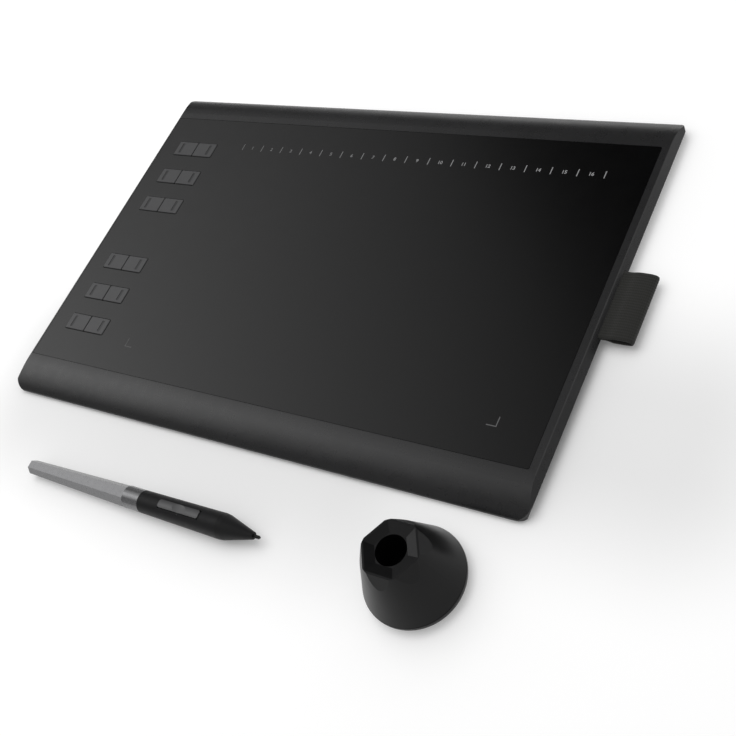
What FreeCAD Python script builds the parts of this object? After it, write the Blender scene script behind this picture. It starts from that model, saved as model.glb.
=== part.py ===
import FreeCAD, Part
import math
import os

# Graphics tablet with its pen and pen holder, in millimetres.
# X runs left to right, Y from the front edge to the back edge, Z up from the desk.
# The origin is on the desk, under the centre of the tablet.

V = FreeCAD.Vector
AXIS_X = V(1, 0, 0)
AXIS_Y = V(0, 1, 0)
AXIS_Z = V(0, 0, 1)

# Fits shared by all pieces
SEAM_GAP = 0.25          # shadow gap between visible neighbours
MOVE_GAP = 0.3           # between a moving piece and what surrounds it
RUN_FIT = 0.06           # radial clearance of a pin that turns or slides
SEAT_GAP = 0.05          # play round a fixed pin, screw or board
OVERCUT = 1.0            # how far a cutting solid runs past what it cuts
CLOSE = 0.001            # two lengths nearer than this are the same

# Tablet body
TABLET_LENGTH = 360.0
TABLET_DEPTH = 243.0
TABLET_HEIGHT = 10.0
CORNER_RADIUS = 8.0      # corners seen from above
END_WIDEST = 5.8         # height of the line where the left and right ends reach furthest out
END_TOP_INSET = 2.8      # an end's top edge, in from that line
END_UNDER_INSET = 2.3    # an end's bottom edge, in from that line
END_EDGE_RADIUS = 0.6
FOOT_HEIGHT = 1.0        # how far the feet lift the body off the desk
SEAM_HEIGHT = 3.2        # parting line between the two housings
SLOPE_RUN = 22.8         # front edge to where the top begins to fall
SLOPE_DROP = 0.6         # how far it has fallen where the nose begins
NOSE_RUN = 16.0          # length of the long rounded nose
NOSE_DROP = 7.6          # top face down to the foremost line
NOSE_RISE = 1.6          # how steeply the nose starts upwards from that line
BACK_RUN = 16.5          # length of the long rounded back edge
BACK_DROP = 7.5
ROUND_SHARE = 0.6        # makes a curve a little fuller than a quarter ellipse
UNDER_RUN = 9.0          # tucked under front and back edges
WALL = 4.0               # widest line of an end to the inside
TOP_SKIN = 2.2           # housing top, with the sheet in it
FLOOR = 1.6              # floor of the lower housing
FRONT_WALL = 9.0         # front edge to the inside
BACK_WALL = 9.0          # back edge to the inside
FRONT_SLANT = 10.0       # the inside's roof slants down over this length at the front
FRONT_FALL = 2.8         # and by this much
RIM_RISE = 1.0           # the lower housing's rim above the split of the bosses

# Work surface sheet
SHEET_THICKNESS = 0.4
SHEET_LEFT = 4.0         # from the left end of the body
SHEET_RIGHT = 7.0        # from the right end
SHEET_FRONT = 23.3       # from the front edge
SHEET_BACK = 21.1        # from the back edge
SHEET_CORNER = 1.0
GROOVE = 0.25            # dark line round the sheet

# Press keys, in pairs
KEY_LENGTH = 16.3
KEY_WIDTH = 11.5
KEY_SPLIT = 0.5          # gap between the two keys of a pair
KEY_PROUD = 0.5          # above the sheet
KEY_CENTRE = 34.6        # pair centre from the left end of the body
KEY_SHIFT = 1.5          # key banks and main board, towards the back
KEY_PITCH = 24.0
KEYS_PER_BANK = 3
BANK_OFFSET = 24.0       # middle of the banks to the nearest pair
KEY_CORNER = 0.8
KEY_EDGE = 0.35
KEY_WALL = 1.2
KEY_LIP = 0.8            # retaining lip under the housing top
KEY_LIP_THICKNESS = 0.6
KEY_TRAVEL = 0.5
KEY_STEM = 3.0           # square post over the switch
MARK_LENGTH = 8.0        # recessed mark near a key's outer end
MARK_WIDTH = 2.0
MARK_DEPTH = 0.2
MARK_INSET = 4.5
MARK_CORNER = 0.5

# Boards and what they carry
BOARD = 1.0
BOARD_CORNER = 1.5
BOARD_POST = 1.0         # main board above the floor
BOARD_POST_RADIUS = 2.0
MAIN_LEFT = 5.6          # main board, from the left end of the body
MAIN_WIDTH = 53.0
MAIN_DEPTH = 186.0
SWITCH_SIZE = 4.5
SWITCH_HEIGHT = 1.0
SWITCH_BUTTON_RADIUS = 1.0
SWITCH_BUTTON_HEIGHT = 0.4
CHIP_SIZE = 9.0
CHIP_HEIGHT = 1.0
CHIP_GAP = 6.0
MEMORY_HEIGHT = 0.8
BOARD_GAP = 3.4          # main board to digitiser board
DIGITISER_RIGHT = 22.0   # digitiser board, from the right end of the body
DIGITISER_FRONT = 28.0
DIGITISER_BACK = 30.0
SHIELD = 0.4
SHIELD_INSET = 9.0       # leaves the board's connector edge bare
RIB = 1.2
RIB_COUNT = 4
RIB_SETBACK = 4.0        # from each end of the shield
CONNECTOR_LENGTH = 24.0
CONNECTOR_WIDTH = 4.0
CONNECTOR_HEIGHT = 1.2
CONNECTOR_INSET = 1.0    # from the board's edge, and straight cable beyond it
CABLE_WIDTH = 20.0
CABLE = 0.3

# USB socket in the left end
USB_WIDTH = 7.5
USB_HEIGHT = 2.6
USB_DEPTH = 6.6
USB_WALL = 0.3
USB_FROM_BOARD_END = 11.0
USB_SINK = 1.6           # socket's mouth behind the widest line of the end
USB_MOUTH_GAP = 0.4
USB_MOUTH_CORNER = 1.0
USB_TONGUE = 0.6
USB_TONGUE_MARGIN = 1.0

# Pen loop in the right end
LOOP_WIDTH = 41.0
LOOP_CENTRE = 0.0        # in Y
LOOP_REACH = 17.0        # out from the right end
LOOP_LAYER = 1.25        # one layer of elastic
LOOP_BULGE = 4.6         # thickness over both layers at their widest
LOOP_DROOP = 0.9
LOOP_TAIL = 14.0         # length held inside
LOOP_START = 2.0         # the layers lie flat this far out of the slot
LOOP_PART = 1.5          # and start to part this much further out
LOOP_CROWN = 0.55        # share of the reach where they are widest apart
LOOP_FOLD = 0.85         # the round fold against the widest part
CLAMP_THICKNESS = 1.2
CLAMP_WIDTH = 9.0
CLAMP_END = 5.0          # bar beyond the loop at each end
CLAMP_INSET = 1.0        # from the end wall
CLAMP_CORNER = 1.5
CLAMP_BITE = 0.6         # its screws' reach into the housing's roof

# Feet and screws
FOOT_LENGTH = 36.0
FOOT_WIDTH = 9.0
FOOT_RECESS = 0.6
FOOT_IN_X = 36.0         # from the ends
FOOT_IN_Y = 20.0         # from the edges
FOOT_EDGE = 0.25
SCREW_RADIUS = 1.0
SCREW_HEAD_RADIUS = 2.0
SCREW_HEAD = 0.7
SCREW_HEAD_EDGE = 0.25
SCREW_SINK = 0.8
SCREW_LENGTH = 5.4
CROSS_ARM = 1.2          # cross recess in the head, from its centre
CROSS_HALF = 0.28
CROSS_DEPTH = 0.4
PILOT_ROOM = 0.2         # pilot hole beyond the screw's point
BOSS_RADIUS = 3.0
CLAMP_BOSS_RADIUS = 2.5
BOSS_SPLIT = 4.2         # height where the two housings' bosses meet
BOSS_IN_X = 12.0         # from the ends
BOSS_IN_Y = 19.5         # from the edges
BOSS_COLUMNS = 4

# Pen, along its own axis from the tip of the nib
PEN_LENGTH = 175.0
PEN_RADIUS = 7.1         # at the widest ring, where the nose begins
PEN_NOSE = 23.5
RING_EDGE = 1.4          # bevel that softens the widest ring
NOSE_FACE = 4.2          # face that the nib comes out of
NOSE_FACE_RADIUS = 2.0
PEN_JOINT = 82.0
JOINT_RADIUS = 6.3
COLLAR_LENGTH = 11.7
TAIL_RADIUS = 4.3
TAIL_CAP = 3.0
TAIL_CHAMFER = 0.8
JOINT_LINE = 0.3         # dark line between the barrels
FACETS = 6
PEN_BORE = 5.0
REAR_BORE = 3.9
REAR_TAIL_BORE = 2.5
NIB_RADIUS = 0.95
NIB_LENGTH = 30.0
NIB_TIP = 0.7            # length of its blunt tip
NIB_TIP_RADIUS = 0.45
NIB_TRAVEL = 0.4
COIL_START = 15.0
COIL_LENGTH = 13.0
COIL_RADIUS = 2.7
FERRITE_RADIUS = 1.9
SLEEVE_END = 1.0         # ferrite bare beyond the winding at each end
SENSOR_GUIDE = 0.8       # wall of the guide round the nib
SENSOR_LENGTH = 4.0
CARRIER_RADIUS = 3.4
CARRIER_LENGTH = 76.0
CARRIER_RING = 3.0
PEN_BOARD_WIDTH = 5.6
PEN_BOARD = 0.8
ROCKER_START = 37.5
ROCKER_LENGTH = 29.0
ROCKER_WIDTH = 4.7
ROCKER_CORNER = 1.2
ROCKER_DIP_RADIUS = 30.0
ROCKER_PROUD = 0.5
ROCKER_DEPTH = 2.4
ROCKER_GAP = 0.25
ROCKER_PIN_RADIUS = 0.55
ROCKER_PIN_DEPTH = 1.3   # pin below the barrel's surface
ROCKER_PIN_REACH = 0.6   # into each wall of the slot
ROCKER_SWING = 0.6       # room for its ends
CONTACT_RADIUS = 1.4
CONTACT_FROM_END = 4.0
PEN_CENTRE_X = -38.4     # where the pen lies on the desk
PEN_FROM_TABLET = 45.5   # its axis in front of the tablet's edge

# Pen holder
HOLDER_X = 138.4
HOLDER_FROM_TABLET = 40.4
HOLDER_RADIUS = 26.0
HOLDER_TOP_RADIUS = 15.0
HOLDER_HEIGHT = 37.0
HOLDER_SPLIT = 7.5       # height of the line where the base twists off
HOLDER_FOOT_RADIUS = 21.0
HOLDER_WALL = 2.0
HOLDER_BORE = 7.75
HOLDER_BORE_DEPTH = 24.0
HOLDER_TUBE_WALL = 1.6
HOLDER_DISH = 1.3        # how far the top dips to the bore
CROWN_FACETS = 6
CROWN_DROP = 7.0         # facets of the crown run out at this depth
CROWN_CUT = 1.3          # how far they cut into the rim
CROWN_RIM = 1.0          # flat rim between the facets and the dish
SPIGOT_HEIGHT = 3.0
SPIGOT_WALL = 1.5
SNAP_HEIGHT = 0.45       # the ridge that snaps into the shell's groove
PAD_RADIUS = 19.0
PAD_HEIGHT = 1.2
PAD_SEAT = 0.6
HOLDER_FLOOR = 2.4
BALLAST_RADIUS = 10.5
BALLAST_HEIGHT = 4.0
BASE_BULGE = 0.3         # how far along the base's curve its middle point lies
SPARE_NIBS = 8
SPARE_CIRCLE = 14.0
SPARE_LENGTH = 12.0
SPARE_SEAT = 3.0
SPARE_RING = 2.0         # the seat round the circle, to each side
PULLER_WIDTH = 3.6
PULLER_SPAN = 4.4
PULLER_SHEET = 0.6

# Derived places used by several pieces
HALF_X = TABLET_LENGTH / 2
HALF_Y = TABLET_DEPTH / 2
ROOF = TABLET_HEIGHT - TOP_SKIN
FLOOR_TOP = FOOT_HEIGHT + FLOOR
SHEET_UNDER = TABLET_HEIGHT - SHEET_THICKNESS
PAIR_X = KEY_CENTRE - HALF_X
MAIN_UNDER = FLOOR_TOP + BOARD_POST
MAIN_TOP = MAIN_UNDER + BOARD
DIGITISER_LEFT = MAIN_LEFT + MAIN_WIDTH + BOARD_GAP
DIGITISER_UNDER = ROOF - BOARD
SHIELD_UNDER = DIGITISER_UNDER - SHIELD
INSIDE_X = HALF_X - WALL
USB_Y = KEY_SHIFT + MAIN_DEPTH / 2 - USB_FROM_BOARD_END
PEN_Y = -HALF_Y - PEN_FROM_TABLET
HOLDER_Y = -HALF_Y - HOLDER_FROM_TABLET
LOOP_TOP = ROOF
LOOP_UNDER = LOOP_TOP - 2 * LOOP_LAYER


def block(x0, x1, y0, y1, z0, z1):
    return Part.makeBox(x1 - x0, y1 - y0, z1 - z0, V(x0, y0, z0))


def disc(radius, z0, z1, x=0.0, y=0.0):
    return Part.makeCylinder(radius, z1 - z0, V(x, y, z0), AXIS_Z)


def rod(radius, x0, x1, y=0.0, z=0.0):
    return Part.makeCylinder(radius, x1 - x0, V(x0, y, z), AXIS_X)


def upright_edges(solid):
    """Edges of a plate that run straight up."""
    return [e for e in solid.Edges
            if len(e.Vertexes) == 2 and abs(e.Vertexes[0].Z - e.Vertexes[1].Z) > CLOSE]


def rounded_plate(x0, x1, y0, y1, z0, z1, radius):
    plate = block(x0, x1, y0, y1, z0, z1)
    return plate.makeFillet(radius, upright_edges(plate))


def polygon_face(points):
    return Part.Face(Part.makePolygon(points + [points[0]]))


def arc(start, middle, end):
    return Part.Arc(start, middle, end).toShape()


def bezier(points):
    curve = Part.BezierCurve()
    curve.setPoles(points)
    return curve.toShape()


def line(start, end):
    return Part.makeLine(start, end)


def turned(points):
    """Solid of revolution about the local X axis from (x, radius) points."""
    outline = [V(x, 0, r) for x, r in points]
    return polygon_face(outline).revolve(V(0, 0, 0), AXIS_X, 360)


def export(name, shape):
    shape.exportStep("parts/" + name + ".step")


# Tablet housing

def body_section():
    """Side profile: a flat top that slopes and rolls over at the front, and rolls over at the back."""
    x = -HALF_X
    nose = V(x, -HALF_Y, TABLET_HEIGHT - NOSE_DROP)
    slope_low = V(x, -HALF_Y + NOSE_RUN, TABLET_HEIGHT - SLOPE_DROP)
    slope_top = V(x, -HALF_Y + SLOPE_RUN, TABLET_HEIGHT)
    back_top = V(x, HALF_Y - BACK_RUN, TABLET_HEIGHT)
    back = V(x, HALF_Y, TABLET_HEIGHT - BACK_DROP)
    under_back = V(x, HALF_Y - UNDER_RUN, FOOT_HEIGHT)
    under_front = V(x, -HALF_Y + UNDER_RUN, FOOT_HEIGHT)
    slope_angle = 2 * SLOPE_DROP / (SLOPE_RUN - NOSE_RUN)
    slope_control = V(x, (slope_low.y + slope_top.y) / 2, TABLET_HEIGHT)
    nose_reach = NOSE_RUN / 2
    back_rise = ROUND_SHARE * BACK_DROP
    back_reach = ROUND_SHARE * BACK_RUN
    edges = [
        bezier([nose, nose + V(0, 0, NOSE_RISE),
                slope_low + V(0, -nose_reach, -nose_reach * slope_angle), slope_low]),
        bezier([slope_low, slope_control, slope_top]),
        line(slope_top, back_top),
        bezier([back_top, back_top + V(0, back_reach, 0), back + V(0, 0, back_rise), back]),
        bezier([back, V(x, back.y, FOOT_HEIGHT), under_back]),
        line(under_back, under_front),
        bezier([under_front, V(x, nose.y, FOOT_HEIGHT), nose]),
    ]
    return Part.Face(Part.Wire(edges))


def body_ends():
    """Bar as deep as the body whose ends lean out to a widest line and tuck in below it."""
    y = -HALF_Y
    right = [V(HALF_X - END_UNDER_INSET, y, FOOT_HEIGHT), V(HALF_X, y, END_WIDEST),
             V(HALF_X - END_TOP_INSET, y, TABLET_HEIGHT)]
    left = [V(-p.x, p.y, p.z) for p in reversed(right)]
    bar = polygon_face(right + left).extrude(V(0, TABLET_DEPTH, 0))
    tops = [e for e in bar.Edges if e.BoundBox.YLength > OVERCUT and e.BoundBox.ZMin > END_WIDEST + CLOSE]
    return bar.makeFillet(END_EDGE_RADIUS, tops)


def body_envelope():
    """Outside of both housings together."""
    wing = body_section().extrude(V(TABLET_LENGTH, 0, 0))
    plan = rounded_plate(-HALF_X, HALF_X, -HALF_Y, HALF_Y, FOOT_HEIGHT, TABLET_HEIGHT, CORNER_RADIUS)
    return wing.common(plan).common(body_ends())


def inside_space(gap=0.0):
    """Hollow of the top housing, from the parting line to the roof, less a gap all round."""
    front = -HALF_Y + FRONT_WALL + gap
    back = HALF_Y - BACK_WALL - gap
    x = -INSIDE_X + gap
    outline = [
        V(x, front, SEAM_HEIGHT),
        V(x, front, ROOF - FRONT_FALL),
        V(x, front + FRONT_SLANT, ROOF),
        V(x, back - TOP_SKIN, ROOF),
        V(x, back, ROOF - TOP_SKIN),
        V(x, back, SEAM_HEIGHT),
    ]
    return polygon_face(outline).extrude(V(2 * (INSIDE_X - gap), 0, 0))


def boss_places():
    """Centres of the housing screws: a row along the front and one along the back."""
    step = 2 * (HALF_X - BOSS_IN_X) / (BOSS_COLUMNS - 1)
    places = []
    for column in range(BOSS_COLUMNS):
        x = -HALF_X + BOSS_IN_X + column * step
        for side in (-1, 1):
            places.append((x, side * (HALF_Y - BOSS_IN_Y)))
    return places


def clamp_places():
    """Centres of the two screws that hold the loop's clamp bar."""
    x = INSIDE_X - CLAMP_INSET - CLAMP_WIDTH / 2
    reach = LOOP_WIDTH / 2 + CLAMP_END / 2
    return [(x, LOOP_CENTRE - reach), (x, LOOP_CENTRE + reach)]


def pair_rows():
    """Y of each pair of keys, from the front to the back."""
    reaches = [BANK_OFFSET + i * KEY_PITCH for i in range(KEYS_PER_BANK)]
    return sorted(KEY_SHIFT + side * reach for reach in reaches for side in (-1, 1))


def key_openings(z0, z1):
    half_x = KEY_LENGTH + KEY_SPLIT / 2 + MOVE_GAP
    half_y = KEY_WIDTH / 2 + MOVE_GAP
    return [rounded_plate(PAIR_X - half_x, PAIR_X + half_x, y - half_y, y + half_y, z0, z1,
                          KEY_CORNER + MOVE_GAP)
            for y in pair_rows()]


def sheet_plate(gap, z0, z1):
    return rounded_plate(-HALF_X + SHEET_LEFT + gap, HALF_X - SHEET_RIGHT - gap,
                         -HALF_Y + SHEET_FRONT + gap, HALF_Y - SHEET_BACK - gap, z0, z1, SHEET_CORNER)


def usb_mouth():
    """Opening in the left wall, a little larger than the socket."""
    half = USB_WIDTH / 2 + USB_MOUTH_GAP
    mouth = block(-HALF_X - OVERCUT, -INSIDE_X + OVERCUT, USB_Y - half, USB_Y + half,
                  MAIN_TOP - USB_MOUTH_GAP, MAIN_TOP + USB_HEIGHT + USB_MOUTH_GAP)
    along = [e for e in mouth.Edges if e.BoundBox.XLength > OVERCUT]
    return mouth.makeFillet(USB_MOUTH_CORNER, along)


def loop_slot():
    half = LOOP_WIDTH / 2 + SEAM_GAP
    return block(INSIDE_X - OVERCUT, HALF_X + OVERCUT, LOOP_CENTRE - half, LOOP_CENTRE + half,
                 LOOP_UNDER - SEAM_GAP, ROOF)


def top_housing(envelope):
    upper = block(-HALF_X, HALF_X, -HALF_Y, HALF_Y, SEAM_HEIGHT, TABLET_HEIGHT)
    bosses = [disc(BOSS_RADIUS, BOSS_SPLIT, ROOF, x, y) for x, y in boss_places()]
    bosses += [disc(CLAMP_BOSS_RADIUS, LOOP_UNDER, ROOF, x, y) for x, y in clamp_places()]
    hole = SCREW_RADIUS + SEAT_GAP
    screw_end = FOOT_HEIGHT + SCREW_SINK + SCREW_LENGTH + PILOT_ROOM
    clamp_end = ROOF + CLAMP_BITE + PILOT_ROOM
    pilots = [disc(hole, SEAM_HEIGHT, screw_end, x, y) for x, y in boss_places()]
    pilots += [disc(hole, SEAM_HEIGHT, clamp_end, x, y) for x, y in clamp_places()]
    shell = envelope.common(upper).cut(inside_space())
    shell = shell.fuse(bosses)
    cuts = pilots + key_openings(ROOF - OVERCUT, TABLET_HEIGHT + OVERCUT)
    cuts += [sheet_plate(0.0, SHEET_UNDER, TABLET_HEIGHT + OVERCUT), usb_mouth(), loop_slot()]
    return shell.cut(cuts)


def work_surface():
    sheet = sheet_plate(GROOVE, SHEET_UNDER, TABLET_HEIGHT)
    return sheet.cut(key_openings(SHEET_UNDER - OVERCUT, TABLET_HEIGHT + OVERCUT))


def foot_plate(x, y, gap, z0, z1):
    """A pill shaped plate."""
    half_x = FOOT_LENGTH / 2 + gap
    half_y = FOOT_WIDTH / 2 + gap
    return rounded_plate(x - half_x, x + half_x, y - half_y, y + half_y, z0, z1, half_y - CLOSE)


def foot_places():
    reach_x = HALF_X - FOOT_IN_X
    reach_y = HALF_Y - FOOT_IN_Y
    return [(sx * reach_x, sy * reach_y) for sx in (-1, 1) for sy in (-1, 1)]


def board_post_places():
    left = -HALF_X + MAIN_LEFT + 2 * BOARD_POST_RADIUS
    right = -HALF_X + MAIN_LEFT + MAIN_WIDTH - 2 * BOARD_POST_RADIUS
    reach = MAIN_DEPTH / 2 - 2 * BOARD_POST_RADIUS
    return [(x, KEY_SHIFT + y) for x in (left, right) for y in (-reach, 0, reach)]


def shield_span():
    x0 = -HALF_X + DIGITISER_LEFT + SHIELD_INSET
    x1 = HALF_X - DIGITISER_RIGHT
    y0 = -HALF_Y + DIGITISER_FRONT
    y1 = HALF_Y - DIGITISER_BACK
    return x0, x1, y0, y1


def lower_housing(envelope):
    lower = block(-HALF_X, HALF_X, -HALF_Y, HALF_Y, FOOT_HEIGHT, SEAM_HEIGHT)
    tray = envelope.common(lower)
    inner = inside_space(SEAT_GAP)
    rim_height = BOSS_SPLIT + RIM_RISE
    rim_zone = block(-HALF_X, HALF_X, -HALF_Y, HALF_Y, SEAM_HEIGHT, rim_height)
    rim = inner.common(rim_zone).cut(inside_space(SEAT_GAP + RIB))
    pocket = rounded_plate(-INSIDE_X + RIB, INSIDE_X - RIB, -HALF_Y + FRONT_WALL + RIB,
                           HALF_Y - BACK_WALL - RIB, FLOOR_TOP, rim_height + OVERCUT, CORNER_RADIUS)
    tray = tray.fuse(rim).cut(pocket)
    x0, x1, y0, y1 = shield_span()
    step = (y1 - y0) / (RIB_COUNT + 1)
    ribs = [block(x0 + RIB_SETBACK, x1 - RIB_SETBACK, y0 + i * step - RIB / 2, y0 + i * step + RIB / 2,
                  FLOOR_TOP, SHIELD_UNDER)
            for i in range(1, RIB_COUNT + 1)]
    posts = [disc(BOARD_POST_RADIUS, FLOOR_TOP, MAIN_UNDER, x, y) for x, y in board_post_places()]
    bosses = [disc(BOSS_RADIUS, FOOT_HEIGHT, BOSS_SPLIT, x, y) for x, y in boss_places()]
    tray = tray.fuse(ribs + posts + bosses)
    below = FOOT_HEIGHT - OVERCUT
    above = rim_height + OVERCUT
    seats = [foot_plate(x, y, SEAT_GAP, below, FOOT_HEIGHT + FOOT_RECESS) for x, y in foot_places()]
    heads = [disc(SCREW_HEAD_RADIUS + MOVE_GAP, below, FOOT_HEIGHT + SCREW_SINK, x, y)
             for x, y in boss_places()]
    shanks = [disc(SCREW_RADIUS + MOVE_GAP, FOOT_HEIGHT, above, x, y) for x, y in boss_places()]
    half = LOOP_WIDTH / 2 + CLAMP_END + OVERCUT
    loop_room = block(INSIDE_X - LOOP_TAIL, INSIDE_X, LOOP_CENTRE - half, LOOP_CENTRE + half,
                      SEAM_HEIGHT, above)
    half_usb = USB_WIDTH / 2 + 2 * USB_MOUTH_GAP
    usb_room = block(-INSIDE_X, -INSIDE_X + 2 * RIB, USB_Y - half_usb, USB_Y + half_usb, SEAM_HEIGHT, above)
    return tray.cut(seats + heads + shanks + [loop_room, usb_room])


def feet():
    pads = []
    for x, y in foot_places():
        pad = foot_plate(x, y, 0.0, 0.0, FOOT_HEIGHT + FOOT_RECESS)
        low_edges = [e for e in pad.Edges if e.BoundBox.ZMax < CLOSE]
        pads.append(pad.makeChamfer(FOOT_EDGE, low_edges))
    return Part.makeCompound(pads)


def screw(x, y, head_under, length):
    """A pan head screw driven upwards, with a cross recess in its head."""
    head = disc(SCREW_HEAD_RADIUS, head_under, head_under + SCREW_HEAD, x, y)
    rim = [e for e in head.Edges if e.BoundBox.ZMax < head_under + CLOSE]
    head = head.makeChamfer(SCREW_HEAD_EDGE, rim)
    shank = disc(SCREW_RADIUS, head_under + SCREW_HEAD, head_under + SCREW_HEAD + length, x, y)
    low = head_under - OVERCUT
    high = head_under + CROSS_DEPTH
    cross = [block(x - CROSS_ARM, x + CROSS_ARM, y - CROSS_HALF, y + CROSS_HALF, low, high),
             block(x - CROSS_HALF, x + CROSS_HALF, y - CROSS_ARM, y + CROSS_ARM, low, high)]
    return head.fuse(shank).cut(cross)


def housing_screws():
    under = FOOT_HEIGHT + SCREW_SINK - SCREW_HEAD
    return Part.makeCompound([screw(x, y, under, SCREW_LENGTH) for x, y in boss_places()])


# Keys

def key(side, y):
    """One key of a pair: side -1 is the outer left one, +1 the inner right one."""
    top = TABLET_HEIGHT + KEY_PROUD
    lip_top = ROOF - MOVE_GAP
    lip_under = lip_top - KEY_LIP_THICKNESS
    x0 = PAIR_X + KEY_SPLIT / 2
    x1 = x0 + KEY_LENGTH
    y0 = y - KEY_WIDTH / 2
    y1 = y + KEY_WIDTH / 2
    cap = rounded_plate(x0, x1, y0, y1, lip_under, top, KEY_CORNER)
    rim = [e for e in cap.Edges if e.BoundBox.ZMin > top - CLOSE]
    cap = cap.makeChamfer(KEY_EDGE, rim)
    reach = KEY_LIP + MOVE_GAP
    lip = block(x0, x1 + reach, y0 - reach, y1 + reach, lip_under, lip_top)
    hollow = block(x0 + KEY_WALL, x1 - KEY_WALL, y0 + KEY_WALL, y1 - KEY_WALL,
                   lip_under - OVERCUT, top - KEY_WALL - MARK_DEPTH)
    stem_under = switch_top() + KEY_TRAVEL + 2 * SEAT_GAP
    middle = (x0 + x1) / 2
    half = KEY_STEM / 2
    stem = block(middle - half, middle + half, y - half, y + half, stem_under, top - KEY_WALL)
    mark_x = x1 - MARK_INSET
    mark = rounded_plate(mark_x - MARK_WIDTH / 2, mark_x + MARK_WIDTH / 2,
                         y - MARK_LENGTH / 2, y + MARK_LENGTH / 2, top - MARK_DEPTH, top + OVERCUT,
                         MARK_CORNER)
    solid = cap.fuse(lip).cut(hollow).fuse(stem).cut(mark)
    if side < 0:
        solid = solid.mirror(V(PAIR_X, 0, 0), AXIS_X)
    return solid


def export_keys():
    for row, y in enumerate(pair_rows(), start=1):
        export("key_%d_left" % row, key(-1, y))
        export("key_%d_right" % row, key(1, y))


# Boards

def switch_top():
    return MAIN_TOP + SWITCH_HEIGHT + SWITCH_BUTTON_HEIGHT


def main_board():
    """Board under the keys, cut clear of any housing boss that it reaches."""
    x0 = -HALF_X + MAIN_LEFT
    plate = rounded_plate(x0, x0 + MAIN_WIDTH, KEY_SHIFT - MAIN_DEPTH / 2, KEY_SHIFT + MAIN_DEPTH / 2,
                          MAIN_UNDER, MAIN_TOP, BOARD_CORNER)
    notches = [disc(BOSS_RADIUS + SEAT_GAP, MAIN_UNDER - OVERCUT, MAIN_TOP + OVERCUT, x, y)
               for x, y in boss_places()]
    return plate.cut(notches)


def key_switches():
    switches = []
    for y in pair_rows():
        for side in (-1, 1):
            x = PAIR_X + side * (KEY_SPLIT + KEY_LENGTH) / 2
            half = SWITCH_SIZE / 2
            can = block(x - half, x + half, y - half, y + half, MAIN_TOP, MAIN_TOP + SWITCH_HEIGHT)
            switches.append(can.fuse(disc(SWITCH_BUTTON_RADIUS, MAIN_TOP, switch_top(), x, y)))
    return Part.makeCompound(switches)


def main_connector_x():
    return -HALF_X + MAIN_LEFT + MAIN_WIDTH - CONNECTOR_WIDTH / 2 - CONNECTOR_INSET


def chips():
    """Controller, memory and regulator between the two banks of keys, and the cable connector."""
    half = CHIP_SIZE / 2
    controller = block(PAIR_X - half, PAIR_X + half, -half, half, MAIN_TOP, MAIN_TOP + CHIP_HEIGHT)
    small = CHIP_SIZE / 4
    x = PAIR_X - half - CHIP_GAP
    memory = block(x - small, x + small, -small, small, MAIN_TOP, MAIN_TOP + MEMORY_HEIGHT)
    y = half + CHIP_GAP / 2
    regulator = block(PAIR_X - small, PAIR_X + small, y, y + small, MAIN_TOP, MAIN_TOP + CHIP_HEIGHT)
    connector = cable_connector(main_connector_x(), MAIN_TOP)
    return Part.makeCompound([controller, memory, regulator, connector])


def cable_connector(x, z):
    half_x = CONNECTOR_WIDTH / 2
    half_y = CONNECTOR_LENGTH / 2
    body = block(x - half_x, x + half_x, -half_y, half_y, z, z + CONNECTOR_HEIGHT)
    mouth = block(x, x + half_x + OVERCUT, -CABLE_WIDTH / 2 - SEAT_GAP, CABLE_WIDTH / 2 + SEAT_GAP,
                  z + CONNECTOR_HEIGHT / 2 - CABLE / 2, z + CONNECTOR_HEIGHT / 2 + CABLE / 2)
    return body.cut(mouth)


def digitiser_connector_x():
    return -HALF_X + DIGITISER_LEFT + SHIELD_INSET / 2


def digitiser_board():
    plate = rounded_plate(-HALF_X + DIGITISER_LEFT, HALF_X - DIGITISER_RIGHT,
                          -HALF_Y + DIGITISER_FRONT, HALF_Y - DIGITISER_BACK,
                          DIGITISER_UNDER, ROOF, BOARD_CORNER)
    x = digitiser_connector_x()
    connector = cable_connector(x, DIGITISER_UNDER - CONNECTOR_HEIGHT).mirror(V(x, 0, 0), AXIS_X)
    return plate.fuse(connector)


def shield_plate():
    x0, x1, y0, y1 = shield_span()
    return block(x0, x1, y0, y1, SHIELD_UNDER, DIGITISER_UNDER)


def ribbon_cable():
    """Flat cable that climbs from the main board's connector to the digitiser's."""
    x0 = main_connector_x()
    x1 = digitiser_connector_x()
    z0 = MAIN_TOP + CONNECTOR_HEIGHT / 2 - CABLE / 2
    z1 = DIGITISER_UNDER - CONNECTOR_HEIGHT / 2 - CABLE / 2
    level0 = x0 + CONNECTOR_WIDTH / 2 + CONNECTOR_INSET
    level1 = x1 - CONNECTOR_WIDTH / 2 - CONNECTOR_INSET
    path = [(x0, z0), (level0, z0), (level1, z1), (x1, z1)]
    y = -CABLE_WIDTH / 2
    under = [V(x, y, z) for x, z in path]
    over = [V(x, y, z + CABLE) for x, z in reversed(path)]
    return polygon_face(under + over).extrude(V(0, CABLE_WIDTH, 0))


# USB socket

def usb_outline(inset, x):
    """Mouth of the socket: flat above, with the two lower corners cut away."""
    half = USB_WIDTH / 2 - inset
    z0 = MAIN_TOP + inset
    z1 = MAIN_TOP + USB_HEIGHT - inset
    corner = USB_HEIGHT / 3
    return polygon_face([
        V(x, USB_Y - half, z1),
        V(x, USB_Y + half, z1),
        V(x, USB_Y + half, z0 + corner),
        V(x, USB_Y + half - corner, z0),
        V(x, USB_Y - half + corner, z0),
        V(x, USB_Y - half, z0 + corner),
    ])


def usb_socket():
    x0 = -HALF_X + USB_SINK
    outer = usb_outline(0.0, x0).extrude(V(USB_DEPTH, 0, 0))
    inner = usb_outline(USB_WALL, x0 - OVERCUT).extrude(V(USB_DEPTH - USB_WALL + OVERCUT, 0, 0))
    return outer.cut(inner)


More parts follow.
